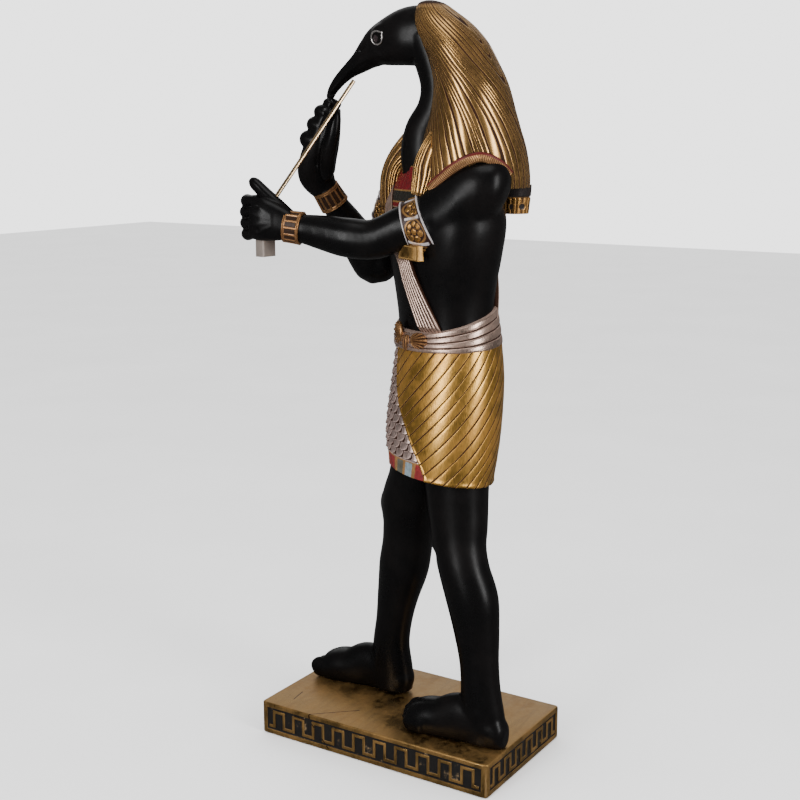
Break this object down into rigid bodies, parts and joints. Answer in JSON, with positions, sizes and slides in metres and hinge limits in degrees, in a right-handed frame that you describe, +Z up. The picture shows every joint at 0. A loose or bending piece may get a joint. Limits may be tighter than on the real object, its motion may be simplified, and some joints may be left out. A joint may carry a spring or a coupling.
{
  "type": "ibis-headed standing figure",
  "caption": "Ibis-headed walking figure in a striped wig and pleated kilt, holding up a thin stylus and a small palette block, on a long plinth with a square key border.",
  "frame": {"origin": "centre of the plinth's underside", "axes": "+Z up; the feet and the bill point along -Y; the figure's left side, with the lower arm, is towards +X"},
  "size_m": [0.2175, 0.3437, 0.9063],
  "materials": {
    "black_resin": "satin black cast resin with painted gold, silver and rose dress",
    "plinth_gold": "cast resin painted old gold, black ground behind the key border",
    "stylus_brass": "polished rod",
    "block_silver": "painted silver over cream"
  },
  "bodies": {
    "root": {"plinth": "plinth_gold", "figure": "black_resin", "stylus": "stylus_brass", "palette_block": "block_silver"}
  },
  "joints": []
}
